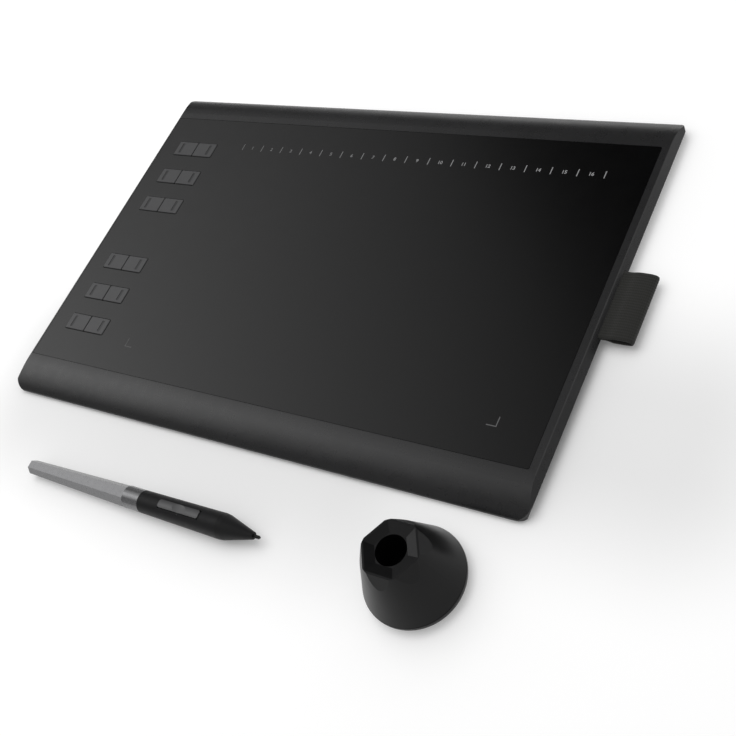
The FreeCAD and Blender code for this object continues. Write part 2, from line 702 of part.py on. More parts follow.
def usb_tongue():
    x0 = -HALF_X + USB_SINK
    half = USB_WIDTH / 2 - USB_WALL - USB_TONGUE_MARGIN
    middle = MAIN_TOP + USB_HEIGHT / 2
    return block(x0 + USB_TONGUE_MARGIN, x0 + USB_DEPTH - USB_WALL, USB_Y - half, USB_Y + half,
                 middle, middle + USB_TONGUE)


# Pen loop

def loop_section():
    """Two layers that leave the slot, part in a lens and meet in a round fold."""
    y = LOOP_CENTRE - LOOP_WIDTH / 2
    mid_z = (LOOP_TOP + LOOP_UNDER) / 2
    inner = HALF_X - LOOP_TAIL
    start = HALF_X + LOOP_START
    crown = HALF_X + LOOP_CROWN * LOOP_REACH
    tip = HALF_X + LOOP_REACH
    half = LOOP_BULGE / 2
    fold = LOOP_FOLD * half
    low = mid_z - LOOP_DROOP
    crown_z = mid_z - LOOP_DROOP / 3
    turn = tip - fold
    outline = [
        line(V(inner, y, LOOP_UNDER), V(inner, y, LOOP_TOP)),
        line(V(inner, y, LOOP_TOP), V(start, y, LOOP_TOP)),
        arc(V(start, y, LOOP_TOP), V(crown, y, crown_z + half), V(turn, y, low + fold)),
        arc(V(turn, y, low + fold), V(tip, y, low), V(turn, y, low - fold)),
        arc(V(turn, y, low - fold), V(crown, y, crown_z - half), V(start, y, LOOP_UNDER)),
        line(V(start, y, LOOP_UNDER), V(inner, y, LOOP_UNDER)),
    ]
    inner_half = half - LOOP_LAYER
    inner_fold = fold - LOOP_LAYER
    hollow_start = V(start + LOOP_PART, y, mid_z)
    hollow = [
        arc(hollow_start, V(crown, y, crown_z + inner_half), V(turn, y, low + inner_fold)),
        arc(V(turn, y, low + inner_fold), V(turn + inner_fold, y, low), V(turn, y, low - inner_fold)),
        arc(V(turn, y, low - inner_fold), V(crown, y, crown_z - inner_half), hollow_start),
    ]
    return Part.Face(Part.Wire(outline)).cut(Part.Face(Part.Wire(hollow)))


def pen_loop():
    return loop_section().extrude(V(0, LOOP_WIDTH, 0))


def loop_clamp():
    """Bar that presses the loop's tail against the roof."""
    x, y0 = clamp_places()[0]
    y1 = clamp_places()[1][1]
    half = CLAMP_WIDTH / 2
    bar = rounded_plate(x - half, x + half, y0 - CLAMP_END / 2, y1 + CLAMP_END / 2,
                        LOOP_UNDER - CLAMP_THICKNESS, LOOP_UNDER, CLAMP_CORNER)
    holes = [disc(SCREW_RADIUS + SEAT_GAP, 0, TABLET_HEIGHT, x, y) for x, y in clamp_places()]
    return bar.cut(holes)


def clamp_screws():
    under = LOOP_UNDER - CLAMP_THICKNESS - SCREW_HEAD
    length = CLAMP_THICKNESS + ROOF - LOOP_UNDER + CLAMP_BITE
    return Part.makeCompound([screw(x, y, under, length) for x, y in clamp_places()])


# Pen, modelled with its tip at the origin and its tail along -X, then laid on the desk

def barrel_radius(s):
    """Outer radius at a distance s from the tip."""
    if s <= PEN_NOSE:
        share = (s - NOSE_FACE) / (PEN_NOSE - NOSE_FACE)
        return NOSE_FACE_RADIUS + (PEN_RADIUS - NOSE_FACE_RADIUS) * share
    if s <= PEN_JOINT:
        share = (s - PEN_NOSE) / (PEN_JOINT - PEN_NOSE)
        return PEN_RADIUS + (JOINT_RADIUS - PEN_RADIUS) * share
    shoulder = PEN_JOINT + COLLAR_LENGTH
    if s <= shoulder:
        return JOINT_RADIUS
    share = (s - shoulder) / (PEN_LENGTH - shoulder)
    return JOINT_RADIUS + (TAIL_RADIUS - JOINT_RADIUS) * share


def lay_pen(shape):
    """Turn the pen so that its widest ring and its collar both rest on the desk."""
    span = PEN_JOINT + COLLAR_LENGTH - PEN_NOSE
    tilt = math.atan((PEN_RADIUS - JOINT_RADIUS) / span)
    tip_z = PEN_RADIUS * math.cos(tilt) + PEN_NOSE * math.sin(tilt)
    tip_x = PEN_CENTRE_X + PEN_LENGTH / 2 * math.cos(tilt)
    laid = shape.copy()
    laid.rotate(V(0, 0, 0), AXIS_Y, -math.degrees(tilt))
    laid.translate(V(tip_x, PEN_Y, tip_z))
    return laid


def pen_front_barrel():
    outer = turned([(-PEN_JOINT + JOINT_LINE, 0), (-PEN_JOINT + JOINT_LINE, barrel_radius(PEN_JOINT)),
                    (-PEN_NOSE, PEN_RADIUS), (-NOSE_FACE, NOSE_FACE_RADIUS), (-NOSE_FACE, 0)])
    ring = [e for e in outer.Edges if abs(e.BoundBox.XMin + PEN_NOSE) < CLOSE and e.BoundBox.XLength < CLOSE]
    outer = outer.makeChamfer(RING_EDGE, ring)
    bore_start = COIL_START + COIL_LENGTH
    bore = rod(PEN_BORE, -PEN_JOINT - OVERCUT, -bore_start)
    coil_room = rod(COIL_RADIUS + SEAT_GAP, -bore_start - OVERCUT, -COIL_START)
    nib_hole = rod(NIB_RADIUS + RUN_FIT, -COIL_START - OVERCUT, 0)
    slot_half = ROCKER_WIDTH / 2 + ROCKER_GAP
    slot = block(-ROCKER_START - ROCKER_LENGTH - ROCKER_GAP, -ROCKER_START + ROCKER_GAP,
                 -slot_half, slot_half, 0, 2 * PEN_RADIUS)
    pin = rocker_pin(ROCKER_PIN_RADIUS + RUN_FIT, ROCKER_PIN_REACH + ROCKER_GAP)
    return outer.cut([bore, coil_room, nib_hole, slot, pin])


def rocker_middle():
    return ROCKER_START + ROCKER_LENGTH / 2


def rocker_pin_height():
    return barrel_radius(rocker_middle()) - ROCKER_PIN_DEPTH


def rocker_floor():
    """Height of the rocker's underside above the pen's axis."""
    return rocker_pin_height() - ROCKER_DEPTH / 2 + ROCKER_PIN_RADIUS / 2


def rocker_pin(radius, reach):
    half = ROCKER_WIDTH / 2 + ROCKER_GAP + reach
    return Part.makeCylinder(radius, 2 * half, V(-rocker_middle(), -half, rocker_pin_height()), AXIS_Y)


def pen_rocker():
    """Side switch: a long key whose back follows the barrel, with a dip at its middle and a pivot pin."""
    front = barrel_radius(ROCKER_START)
    back = barrel_radius(ROCKER_START + ROCKER_LENGTH)
    stock = turned([(-ROCKER_START - ROCKER_LENGTH, 0), (-ROCKER_START - ROCKER_LENGTH, back + ROCKER_PROUD),
                    (-ROCKER_START, front + ROCKER_PROUD), (-ROCKER_START, 0)])
    half = ROCKER_WIDTH / 2
    zone = rounded_plate(-ROCKER_START - ROCKER_LENGTH, -ROCKER_START, -half, half,
                         rocker_floor(), 2 * PEN_RADIUS, ROCKER_CORNER)
    dip_z = barrel_radius(rocker_middle()) + ROCKER_PROUD / 4 + ROCKER_DIP_RADIUS
    dip = Part.makeCylinder(ROCKER_DIP_RADIUS, 4 * half, V(-rocker_middle(), -2 * half, dip_z), AXIS_Y)
    return stock.common(zone).cut(dip).fuse(rocker_pin(ROCKER_PIN_RADIUS, ROCKER_PIN_REACH))


def pen_rear_barrel():
    """Round collar, then a tapered six sided grip cut into the round bar."""
    shoulder = PEN_JOINT + COLLAR_LENGTH
    end = PEN_LENGTH - TAIL_CAP
    collar = rod(JOINT_RADIUS, -shoulder, -PEN_JOINT)
    grip = facet_taper(shoulder, end)
    bore = turned([(-PEN_JOINT + OVERCUT, 0), (-PEN_JOINT + OVERCUT, REAR_BORE), (-shoulder, REAR_BORE),
                   (-end - OVERCUT, REAR_TAIL_BORE), (-end - OVERCUT, 0)])
    return collar.fuse(grip).cut(bore)


def facet_taper(start, end):
    """Part of the six sided taper between two distances from the tip."""
    rings = []
    for s in (start, end):
        radius = barrel_radius(s)
        corners = []
        for i in range(FACETS):
            angle = 2 * math.pi * (i + 0.5) / FACETS + math.pi / 2
            corners.append(V(-s, radius * math.cos(angle), radius * math.sin(angle)))
        rings.append(Part.makePolygon(corners + [corners[0]]))
    return Part.makeLoft(rings, True, True)


def pen_tail_cap():
    """Plug that closes the tail, with a spigot into the barrel's bore."""
    start = PEN_LENGTH - TAIL_CAP
    cap = facet_taper(start, PEN_LENGTH)
    end_edges = [e for e in cap.Edges if e.BoundBox.XMax < -PEN_LENGTH + CLOSE]
    cap = cap.makeChamfer(TAIL_CHAMFER, end_edges)
    spigot = rod(REAR_TAIL_BORE - SEAT_GAP, -start, -start + TAIL_CAP)
    return cap.fuse(spigot)


def nib_shape(length):
    """A nib along X with its blunt tip at the origin."""
    return turned([(-length, 0), (-length, NIB_RADIUS), (-NIB_TIP, NIB_RADIUS), (0, NIB_TIP_RADIUS), (0, 0)])


def pen_nib():
    return nib_shape(NIB_LENGTH)


def pen_coil():
    """Copper winding on its ferrite sleeve, round the nib."""
    far = -COIL_START - COIL_LENGTH
    winding = rod(COIL_RADIUS, far + SLEEVE_END, -COIL_START - SLEEVE_END)
    sleeve = rod(FERRITE_RADIUS, far, -COIL_START)
    return winding.fuse(sleeve).cut(rod(NIB_RADIUS + RUN_FIT, far - OVERCUT, -COIL_START + OVERCUT))


def sensor_start():
    return NIB_LENGTH + NIB_TRAVEL + SEAT_GAP


def pen_sensor():
    start = sensor_start()
    body = rod(PEN_BORE - SEAT_GAP, -start - SENSOR_LENGTH, -start)
    guide = rod(NIB_RADIUS + SENSOR_GUIDE, -start, -COIL_START - COIL_LENGTH)
    hole = rod(NIB_RADIUS + RUN_FIT, -start, -COIL_START - COIL_LENGTH + OVERCUT)
    return body.fuse(guide).cut(hole)


def carrier_start():
    return sensor_start() + SENSOR_LENGTH


def pen_carrier():
    """Half round bar that holds the board, with a ring at each end of the front barrel's bore."""
    start = carrier_start()
    bar = rod(CARRIER_RADIUS, -start - CARRIER_LENGTH, -start)
    ring_far = PEN_JOINT - CARRIER_RING - OVERCUT
    rings = [rod(PEN_BORE - SEAT_GAP, -start - CARRIER_RING, -start),
             rod(PEN_BORE - SEAT_GAP, -ring_far - CARRIER_RING, -ring_far)]
    upper = block(-start - CARRIER_LENGTH - OVERCUT, 0, -PEN_RADIUS, PEN_RADIUS, 0, PEN_RADIUS)
    return bar.fuse(rings).cut(upper)


def pen_board():
    start = carrier_start()
    half = PEN_BOARD_WIDTH / 2
    return block(-start - CARRIER_LENGTH, -start, -half, half, 0, PEN_BOARD)


def pen_contacts():
    """Two dome contacts on the board, one under each end of the rocker."""
    top = rocker_floor() - ROCKER_SWING
    places = (ROCKER_START + CONTACT_FROM_END, ROCKER_START + ROCKER_LENGTH - CONTACT_FROM_END)
    return Part.makeCompound([disc(CONTACT_RADIUS, PEN_BOARD, top, -s, 0) for s in places])


# Pen holder, modelled on its own axis, then moved to its place

def place_holder(shape):
    placed = shape.copy()
    placed.translate(V(HOLDER_X, HOLDER_Y, 0))
    return placed


def upright_turned(points):
    """Solid of revolution about the Z axis from (radius, z) points."""
    outline = [V(r, 0, z) for r, z in points]
    return polygon_face(outline).revolve(V(0, 0, 0), AXIS_Z, 360)


def pyramid_loft(sides, levels):
    """Loft between regular polygons given as (apothem, z)."""
    rings = []
    for apothem, z in levels:
        radius = apothem / math.cos(math.pi / sides)
        corners = []
        for i in range(sides):
            angle = 2 * math.pi * i / sides
            corners.append(V(radius * math.cos(angle), radius * math.sin(angle), z))
        rings.append(Part.makePolygon(corners + [corners[0]]))
    return Part.makeLoft(rings, True, True)


def cone_radius(z):
    share = (z - HOLDER_SPLIT) / (HOLDER_HEIGHT - HOLDER_SPLIT)
    return HOLDER_RADIUS + (HOLDER_TOP_RADIUS - HOLDER_RADIUS) * share


def holder_shell():
    split = HOLDER_SPLIT + SEAM_GAP
    cone = upright_turned([(0, split), (cone_radius(split), split),
                           (HOLDER_TOP_RADIUS, HOLDER_HEIGHT), (0, HOLDER_HEIGHT)])
    crown_low = HOLDER_HEIGHT - CROWN_DROP
    top_apothem = HOLDER_TOP_RADIUS - CROWN_CUT
    low_apothem = cone_radius(crown_low)
    slope = (low_apothem - top_apothem) / CROWN_DROP
    facets = pyramid_loft(CROWN_FACETS, [(low_apothem + slope * (crown_low - split), split),
                                         (top_apothem, HOLDER_HEIGHT)])
    body = cone.common(facets)
    dish = pyramid_loft(CROWN_FACETS, [(HOLDER_BORE, HOLDER_HEIGHT - HOLDER_DISH),
                                       (top_apothem - CROWN_RIM, HOLDER_HEIGHT + CLOSE)])
    roof = HOLDER_HEIGHT - HOLDER_DISH - HOLDER_WALL
    hollow = upright_turned([(0, split - OVERCUT), (cone_radius(split) - HOLDER_WALL, split - OVERCUT),
                             (cone_radius(split) - HOLDER_WALL, split),
                             (cone_radius(roof) - HOLDER_WALL, roof), (0, roof)])
    bore_floor = HOLDER_HEIGHT - HOLDER_BORE_DEPTH
    tube = disc(HOLDER_BORE + HOLDER_TUBE_WALL, bore_floor - HOLDER_TUBE_WALL, HOLDER_HEIGHT - HOLDER_DISH)
    bore = disc(HOLDER_BORE, bore_floor, HOLDER_HEIGHT + OVERCUT)
    return body.cut(hollow).fuse(tube).cut([dish, bore, snap_ridge(SNAP_HEIGHT + MOVE_GAP)])


def spigot_radius():
    return cone_radius(HOLDER_SPLIT + SPIGOT_HEIGHT) - HOLDER_WALL - MOVE_GAP


def snap_ridge(height):
    """Pointed ring round the spigot, as high as it is wide to each side of its middle."""
    root = spigot_radius() - SPIGOT_WALL / 2
    middle = HOLDER_SPLIT + SPIGOT_HEIGHT / 2
    crest = spigot_radius() + height
    rise = crest - root
    return upright_turned([(root, middle - rise), (crest, middle), (root, middle + rise)])


def spare_places():
    """Spare nibs round the base, with the last place left for the puller."""
    places = []
    for i in range(SPARE_NIBS + 1):
        angle = 2 * math.pi * i / (SPARE_NIBS + 1)
        places.append((SPARE_CIRCLE * math.cos(angle), SPARE_CIRCLE * math.sin(angle)))
    return places


def holder_base():
    curve_mid = HOLDER_RADIUS - BASE_BULGE * (HOLDER_RADIUS - HOLDER_FOOT_RADIUS)
    curve_z = PAD_SEAT + BASE_BULGE * (HOLDER_SPLIT - PAD_SEAT)
    floor_top = PAD_HEIGHT + HOLDER_FLOOR
    spigot = spigot_radius()
    outline = [
        line(V(0, 0, PAD_SEAT), V(HOLDER_FOOT_RADIUS, 0, PAD_SEAT)),
        arc(V(HOLDER_FOOT_RADIUS, 0, PAD_SEAT), V(curve_mid, 0, curve_z), V(HOLDER_RADIUS, 0, HOLDER_SPLIT)),
        line(V(HOLDER_RADIUS, 0, HOLDER_SPLIT), V(spigot, 0, HOLDER_SPLIT)),
        line(V(spigot, 0, HOLDER_SPLIT), V(spigot, 0, HOLDER_SPLIT + SPIGOT_HEIGHT)),
        line(V(spigot, 0, HOLDER_SPLIT + SPIGOT_HEIGHT),
             V(spigot - SPIGOT_WALL, 0, HOLDER_SPLIT + SPIGOT_HEIGHT)),
        line(V(spigot - SPIGOT_WALL, 0, HOLDER_SPLIT + SPIGOT_HEIGHT), V(spigot - SPIGOT_WALL, 0, floor_top)),
        line(V(spigot - SPIGOT_WALL, 0, floor_top), V(0, 0, floor_top)),
        line(V(0, 0, floor_top), V(0, 0, PAD_SEAT)),
    ]
    base = Part.Face(Part.Wire(outline)).revolve(V(0, 0, 0), AXIS_Z, 360)
    cup_top = floor_top + SPARE_SEAT
    above = cup_top + OVERCUT
    outer_ring = disc(SPARE_CIRCLE + SPARE_RING, floor_top, cup_top)
    cup_ring = outer_ring.cut(disc(SPARE_CIRCLE - SPARE_RING, floor_top, cup_top))
    sockets = [disc(NIB_RADIUS + SEAT_GAP, floor_top, above, x, y) for x, y in spare_places()[:-1]]
    x, y = spare_places()[-1]
    puller_seat = block(-PULLER_WIDTH, PULLER_WIDTH, -PULLER_WIDTH, PULLER_WIDTH, floor_top, above)
    puller_seat.translate(V(x, y, 0))
    recess = disc(PAD_RADIUS + SEAT_GAP, 0, PAD_HEIGHT)
    base = base.fuse([cup_ring, snap_ridge(SNAP_HEIGHT)])
    return base.cut(sockets + [puller_seat, recess])


def holder_pad():
    pad = disc(PAD_RADIUS, 0, PAD_HEIGHT)
    low_edges = [e for e in pad.Edges if e.BoundBox.ZMax < CLOSE]
    return pad.makeChamfer(FOOT_EDGE, low_edges)


def holder_ballast():
    under = PAD_HEIGHT + HOLDER_FLOOR
    return disc(BALLAST_RADIUS, under, under + BALLAST_HEIGHT)


def spare_nibs():
    under = PAD_HEIGHT + HOLDER_FLOOR
    nibs = []
    for x, y in spare_places()[:-1]:
        nib = nib_shape(SPARE_LENGTH)
        nib.rotate(V(0, 0, 0), AXIS_Y, -90)
        nib.translate(V(x, y, under + SPARE_LENGTH))
        nibs.append(nib)
    return Part.makeCompound(nibs)


def nib_puller():
    """Small tweezer bent from sheet, standing on its bend."""
    under = PAD_HEIGHT + HOLDER_FLOOR
    half = PULLER_SPAN / 2
    outer = block(-half, half, -PULLER_WIDTH / 2, PULLER_WIDTH / 2, under, under + SPARE_LENGTH)
    inner = block(-half + PULLER_SHEET, half - PULLER_SHEET, -PULLER_WIDTH, PULLER_WIDTH,
                  under + PULLER_SHEET, under + SPARE_LENGTH + OVERCUT)
    puller = outer.cut(inner)
    x, y = spare_places()[-1]
    puller.translate(V(x, y, 0))
    return puller


def main():
    os.makedirs("parts", exist_ok=True)
    envelope = body_envelope()
    export("top_housing", top_housing(envelope))
    export("lower_housing", lower_housing(envelope))
    export("work_surface", work_surface())
    export("rubber_feet", feet())
    export("housing_screws", housing_screws())
    export_keys()
    export("main_board", main_board())
    export("main_board_chips", chips())
    export("key_switches", key_switches())
    export("digitiser_board", digitiser_board())
    export("shield_plate", shield_plate())
    export("ribbon_cable", ribbon_cable())
    export("usb_socket", usb_socket())
    export("usb_tongue", usb_tongue())
    export("pen_loop", pen_loop())
    export("loop_clamp", loop_clamp())
    export("clamp_screws", clamp_screws())
    pen_pieces = {
        "pen_front_barrel": pen_front_barrel(),
        "pen_rear_barrel": pen_rear_barrel(),
        "pen_tail_cap": pen_tail_cap(),
        "pen_rocker": pen_rocker(),
        "pen_contacts": pen_contacts(),
        "pen_nib": pen_nib(),
        "pen_coil": pen_coil(),
        "pen_sensor": pen_sensor(),
        "pen_carrier": pen_carrier(),
        "pen_board": pen_board(),
    }
    for name, shape in pen_pieces.items():
        export(name, lay_pen(shape))
    holder_pieces = {
        "holder_shell": holder_shell(),
        "holder_base": holder_base(),
        "holder_pad": holder_pad(),
        "holder_ballast": holder_ballast(),
        "spare_nibs": spare_nibs(),
        "nib_puller": nib_puller(),
    }
    for name, shape in holder_pieces.items():
        export(name, place_holder(shape))


main()
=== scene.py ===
import bpy
import math
from mathutils import Matrix, Vector
from mathutils.geometry import interpolate_bezier


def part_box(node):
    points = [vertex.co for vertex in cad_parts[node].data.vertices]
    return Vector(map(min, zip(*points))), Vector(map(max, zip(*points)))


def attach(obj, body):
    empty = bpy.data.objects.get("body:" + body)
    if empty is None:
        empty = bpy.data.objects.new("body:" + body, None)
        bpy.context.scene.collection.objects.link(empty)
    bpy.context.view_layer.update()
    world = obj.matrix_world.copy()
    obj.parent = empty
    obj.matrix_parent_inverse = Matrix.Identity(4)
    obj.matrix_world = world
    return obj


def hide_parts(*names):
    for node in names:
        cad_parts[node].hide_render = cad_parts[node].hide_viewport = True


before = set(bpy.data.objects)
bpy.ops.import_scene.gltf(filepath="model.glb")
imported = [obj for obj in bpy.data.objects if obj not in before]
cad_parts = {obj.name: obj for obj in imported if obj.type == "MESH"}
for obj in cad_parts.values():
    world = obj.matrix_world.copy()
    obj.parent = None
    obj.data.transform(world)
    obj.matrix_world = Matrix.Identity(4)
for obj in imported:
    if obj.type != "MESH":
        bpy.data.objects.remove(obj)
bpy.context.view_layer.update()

# Everything is in metres, in the frame of the model: X to the tablet's right, Y to its back, Z up
MM = 0.001

# Camera, set so that the tablet's corners, panel and ruler fall where the photograph has them
PHOTO_WIDTH = 736
CAMERA_AZIMUTH = math.radians(55.48)
CAMERA_ELEVATION = math.radians(48.76)
CAMERA_ROLL = math.radians(-36.29)
CAMERA_TARGET = Vector((60.57, -60.08, 5.0)) * MM
CAMERA_DISTANCE = 607.43 * MM
FOCAL_PIXELS = 1133.29
SENSOR_WIDTH = 36.0
CLIP_START = 10.0 * MM

# Printing on the work surface, with painted shade that makes the ink fainter towards the keys.
# INK_SHADE_SPAN says between which X the ink gains its full strength
RULER_LEFT = -105.86 * MM
RULER_RIGHT = 148.14 * MM
RULER_Y = 78.69 * MM
RULER_FIELDS = 16
TICK_LENGTH = 5.0 * MM
LINE_WIDTH = 0.55 * MM
NUMBER_HEIGHT = 3.3 * MM
NUMBER_BOLD = 0.09 * MM
NUMBER_DROP = 0.3 * MM
NUMBER_CURVE_STEPS = 3
AREA_FRONT = -80.06 * MM
INK_SHADE_SPAN = (-0.13, 0.13)
RULER_GREY = (0.27, 0.27, 0.275)
RULER_MOST_SHADED = 0.34
CORNER_GREY = (0.10, 0.10, 0.102)
CORNER_MOST_SHADED = 0.7
CORNER_LEG = 5.5 * MM
INK_LIFT = 0.015 * MM
INK_DEPTH = 0.02 * MM

# Elastic loop. Its two layers lie together as far as LOOP_FLAT out of the housing, are furthest
# apart at the crown, and meet in the fold
ELASTIC = 1.25 * MM
ELASTIC_RIBS = 26
ELASTIC_RIB_HEIGHT = 0.08 * MM
ELASTIC_RIB_STEPS = 8
ELASTIC_PATH_STEPS = 26
ELASTIC_MARGIN = 0.15 * MM
ELASTIC_EDGE_ROUNDING = 14
ELASTIC_EDGE_THICKNESS = 0.25
ELASTIC_WANDER = 0.06 * MM
ELASTIC_WANDER_ALONG = 0.35
ELASTIC_WANDER_ACROSS = 9
LOOP_END_GAP = 0.2 * MM
LOOP_FLAT = 2.0 * MM
LOOP_PARTING = 0.2 * MM
LOOP_CROWN = 0.72
LOOP_DROOP = 0.9 * MM
LOOP_EASE = 3.2 * MM
LOOP_CROWN_EASE = 1.4
LOOP_FOLD_ABOVE = 1.9 * MM
LOOP_FOLD_BELOW = 1.6 * MM

# Contacts of the USB socket. They start USB_GAP under its tongue and end USB_DEPTH under it
USB_CONTACTS = 5
USB_PITCH = 0.65 * MM
USB_HALF_WIDTH = 0.16 * MM
USB_BACK_GAP = 0.3 * MM
USB_FRONT_GAP = 0.2 * MM
USB_GAP = 0.005 * MM
USB_DEPTH = 0.06 * MM

# Painted shade on the keys: how far under a key's top the recessed mark and the sides are fully
# dark, and where the dark ends
KEY_RECESS_SHADE = (0.24 * MM, 0.06 * MM)

# Studio light. Each pair is a part of the mirrored direction and the strength there. Surfaces
# mirror a wall of light at the left, a low glow behind the tablet, and a pale room in the
# directions that the photograph's view hardly uses
WALL_RIGHT = (-0.25, 0.0)
WALL_LEFT = (-0.95, 1.66)
WALL_NEAR = (-0.3, 2.02)
WALL_FAR = (0.909, 0.0)
WALL_FRONT_EDGE = ((-0.5, 0.0), (0.08, 1.0))
WALL_FRONT_GAIN = ((0.05, 1.28), (0.33, 1.0))
WALL_CORNER = ((0.03, 1.0), (0.17, 0.0))
WALL_LOW_EDGE = ((0.40, 0.0), (0.60, 1.0))
GLOW_LEFT_EDGE = ((-0.68, 0.15), (-0.44, 1.0))
GLOW_HEIGHT = ((0.12, 1.35), (0.5, 0.0))
GLOW_NEAR_EDGE = ((0.5, 0.0), (0.68, 1.0))
ROOM_RIGHT_EDGE = ((-0.15, 0.0), (0.18, 0.8))
ROOM_LOW_EDGE = ((0.1, 0.0), (0.45, 1.0))
ROOM_LEFT_EDGE = ((-0.95, 0.9), (-0.82, 0.0))
ROOM_NEAR_EDGE = ((-0.65, 0.22), (-0.2, 0.0))
ROOM_FRONT_SIDE = ((-0.28, 0.0), (0.0, 0.9))
ROOM_FRONT_EDGE = ((-0.02, 1.0), (0.24, 0.0))
AMBIENT = 0.6
OVERHEAD_POWER = 11.0
OVERHEAD_SIZE = 1.5
OVERHEAD_PLACE = (-0.3, 0.1, 1.4)
OVERHEAD_AIM = (0.0, -0.05, 0.0)

# Floor. It is brighter to the camera away from two grey spots, which are painted shadows in front
# of and to the right of the tablet, and more so far out. A spot is its centre and half size along X,
# and the same along Y
FLOOR_HALF = 2.5
FLOOR_DROP = 0.02 * MM
FLOOR_COLOR = (0.83, 0.83, 0.83)
FLOOR_DARKER = (0.825, 0.825, 0.825)
FLOOR_LIGHTER = (0.835, 0.835, 0.835)
FLOOR_LIFT = 0.22
PAINTED_SHADOW_SPOTS = (((-0.04, 0.11), (-0.105, 0.02)), ((0.2, 0.03), (-0.065, 0.01)))
PAINTED_SHADOW_FADE = (0.005, 0.09)
FAR_LIFT = 0.3
FAR_FADE = (0.25, 1.1)


# Building materials

class Shader:
    """A material with short calls for the textures used here. Textures lie in the model's frame."""

    def __init__(self, name, color, roughness, metallic=0.0, specular=0.5):
        self.material = bpy.data.materials.new(name)
        self.material.use_nodes = True
        self.nodes = self.material.node_tree.nodes
        self.links = self.material.node_tree.links
        self.bsdf = self.nodes["Principled BSDF"]
        self.bsdf.inputs["Base Color"].default_value = (*color, 1.0)
        self.bsdf.inputs["Roughness"].default_value = roughness
        self.bsdf.inputs["Metallic"].default_value = metallic
        self.bsdf.inputs["Specular IOR Level"].default_value = specular
        self.place = self.nodes.new("ShaderNodeTexCoord").outputs["Object"]
        self.normal = None

    def join(self, source, target):
        self.links.new(source, target)

    def mapped(self, stretch):
        mapping = self.nodes.new("ShaderNodeMapping")
        mapping.inputs["Scale"].default_value = stretch
        self.join(self.place, mapping.inputs["Vector"])
        return mapping.outputs["Vector"]

    def noise(self, scale, detail=3.0, stretch=(1.0, 1.0, 1.0)):
        texture = self.nodes.new("ShaderNodeTexNoise")
        texture.inputs["Scale"].default_value = scale
        texture.inputs["Detail"].default_value = detail
        self.join(self.mapped(stretch), texture.inputs["Vector"])
        return texture.outputs["Fac"]

    def cells(self, scale):
        texture = self.nodes.new("ShaderNodeTexVoronoi")
        texture.inputs["Scale"].default_value = scale
        self.join(self.place, texture.inputs["Vector"])
        return texture.outputs["Distance"]

    def waves(self, scale, axis, distortion=0.0):
        texture = self.nodes.new("ShaderNodeTexWave")
        texture.bands_direction = axis
        texture.inputs["Scale"].default_value = scale
        texture.inputs["Distortion"].default_value = distortion
        self.join(self.place, texture.inputs["Vector"])
        return texture.outputs["Fac"]

    def along(self, axis):
        """The place along X, Y or Z, in metres."""
        split = self.nodes.new("ShaderNodeSeparateXYZ")
        self.join(self.place, split.inputs["Vector"])
        return split.outputs[axis]

    def spread(self, value, low, high, out_low=0.0, out_high=1.0, kind="LINEAR"):
        """Stretches low and high to out_low and out_high, and holds the value there beyond them."""
        remap = self.nodes.new("ShaderNodeMapRange")
        remap.interpolation_type = kind
        remap.inputs["From Min"].default_value = low
        remap.inputs["From Max"].default_value = high
        remap.inputs["To Min"].default_value = out_low
        remap.inputs["To Max"].default_value = out_high
        self.join(value, remap.inputs["Value"])
        return remap.outputs["Result"]

    def math(self, operation, first, second=0.0):
        node = self.nodes.new("ShaderNodeMath")
        node.operation = operation
        self.join(first, node.inputs[0])
        if isinstance(second, float):
            node.inputs[1].default_value = second
        else:
            self.join(second, node.inputs[1])
        return node.outputs["Value"]

    def paint(self, value, low, high):
        """Base colour that goes from low to high with the value."""
        mix = self.nodes.new("ShaderNodeMix")
        mix.data_type = "RGBA"
        mix.inputs["A"].default_value = (*low, 1.0)
        mix.inputs["B"].default_value = (*high, 1.0)
        self.join(value, mix.inputs["Factor"])
        self.join(mix.outputs["Result"], self.bsdf.inputs["Base Color"])

    def roughen(self, value, low, high):
        """Roughness from low to high, for a texture whose values lie mostly between 0.3 and 0.7."""
        self.join(self.spread(value, 0.3, 0.7, low, high), self.bsdf.inputs["Roughness"])

    def bump(self, value, distance, strength=1.0):
        """Adds a bump on top of those that are there."""
        node = self.nodes.new("ShaderNodeBump")
        node.inputs["Distance"].default_value = distance
        node.inputs["Strength"].default_value = strength
        self.join(value, node.inputs["Height"])
        if self.normal:
            self.join(self.normal, node.inputs["Normal"])
        self.normal = node.outputs["Normal"]
        self.join(self.normal, self.bsdf.inputs["Normal"])

    def set(self, socket, value):
        self.bsdf.inputs[socket].default_value = value


def shade(color, factor):
    return tuple(channel * factor for channel in color)


def moulded(name, color, roughness, grain=2600.0, depth=0.02 * MM, specular=0.5):
    """Moulded plastic with a fine spark-eroded grain and a slightly uneven sheen."""
    look = Shader(name, color, roughness, specular=specular)
    broad = look.noise(28.0, 2.0)
    look.paint(look.spread(broad, 0.35, 0.65), shade(color, 0.93), shade(color, 1.07))
    look.roughen(look.noise(160.0, 3.0), roughness - 0.02, roughness + 0.02)
    look.bump(look.noise(grain, 2.0), depth)
    return look


def sheet_surface():
    """Matt drawing sheet: a fine tooth that catches the light, darker than the housing."""
    base = (0.0012, 0.0012, 0.0013)
    look = Shader("sheet_surface", base, 0.2)
    patches = look.spread(look.noise(14.0, 3.0), 0.35, 0.65)
    look.paint(patches, shade(base, 0.9), shade(base, 1.12))
    look.roughen(look.noise(90.0, 4.0), 0.19, 0.21)
    look.bump(look.cells(2400.0), 0.005 * MM, 0.6)
    look.bump(look.noise(5200.0, 2.0), 0.004 * MM, 0.8)
    return look.material


